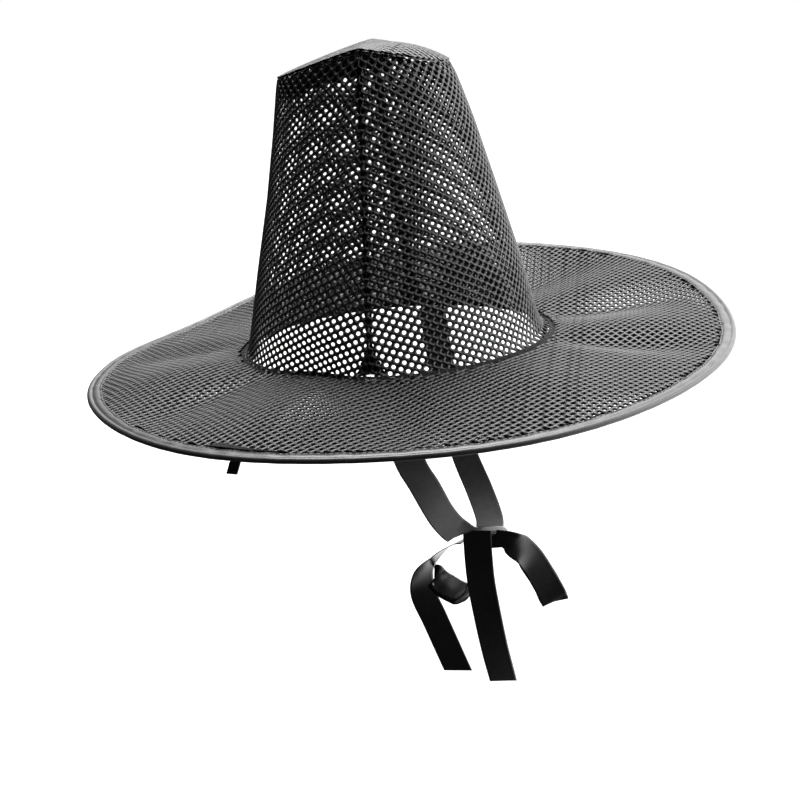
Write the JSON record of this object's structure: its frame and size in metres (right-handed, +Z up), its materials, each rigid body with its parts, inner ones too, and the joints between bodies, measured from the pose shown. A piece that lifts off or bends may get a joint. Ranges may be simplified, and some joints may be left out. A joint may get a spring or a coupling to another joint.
{
  "type": "costume hat",
  "caption": "Tall tapering costume hat of black mesh cloth with a wide bound brim and a satin ribbon tied in a bow as its chin strap.",
  "frame": {"origin": "middle of the crown's foot, where the hat sits on the head", "axes": "+Z up along the crown, -Y to the wearer's front, -X to the wearer's right"},
  "size_m": [0.4, 0.3998, 0.4308],
  "materials": {
    "mesh_cloth": "satin",
    "binding_tape": "satin",
    "satin_ribbon": "satin"
  },
  "bodies": {
    "root": {"crown_front": "mesh_cloth", "crown_back": "mesh_cloth", "crown_top": "mesh_cloth", "side_seam_left": "mesh_cloth", "side_seam_right": "mesh_cloth", "base_seam": "mesh_cloth", "brim": "mesh_cloth", "brim_binding": "binding_tape", "binding_end": "binding_tape", "strap_right": "satin_ribbon", "strap_left": "satin_ribbon", "bow_knot": "satin_ribbon", "bow_loop_front": "satin_ribbon", "bow_loop_back": "satin_ribbon", "bow_tail_front": "satin_ribbon", "bow_tail_back": "satin_ribbon"}
  },
  "joints": []
}
